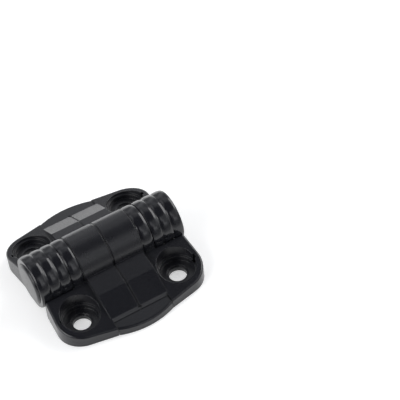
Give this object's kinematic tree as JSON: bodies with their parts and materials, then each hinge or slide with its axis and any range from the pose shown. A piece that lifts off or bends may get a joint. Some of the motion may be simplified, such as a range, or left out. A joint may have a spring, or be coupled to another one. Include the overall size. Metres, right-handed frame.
{
  "type": "detent hinge",
  "caption": "Moulded surface-mount hinge with a ribbed barrel and a sprung detent that holds the leaves at set angles.",
  "frame": {"origin": "under the middle of the barrel, on the mounting face, with the hinge laid flat open", "axes": "+X along the barrel, +Y from the barrel towards the knuckle leaf, +Z out of the front face"},
  "size_m": [0.058, 0.0636, 0.0202],
  "materials": {
    "moulding": "fine matte texture, moulded",
    "follower": "smooth, moulded",
    "spring": "bright drawn wire",
    "shaft": "ground",
    "plug": "smooth, moulded"
  },
  "bodies": {
    "detent_side": {"detent_leaf": "moulding", "spring_retainer": "moulding", "spring_left": "spring", "spring_right": "spring"},
    "knuckle_side": {"knuckle_leaf": "moulding", "detent_shaft": "shaft", "end_plug_left": "plug", "end_plug_right": "plug"},
    "follower_slide": {"follower": "follower"}
  },
  "joints": [
    {"name": "hinge", "type": "hinge", "parent": "detent_side", "child": "knuckle_side", "pos_m": [0, 0, 0.0106], "axis": [1, 0, 0], "range_deg": [0, 170]},
    {"name": "detent", "type": "slide", "parent": "detent_side", "child": "follower_slide", "axis": [0, 0.9659, 0.2588], "range_m": [0, 0.0011]}
  ]
}
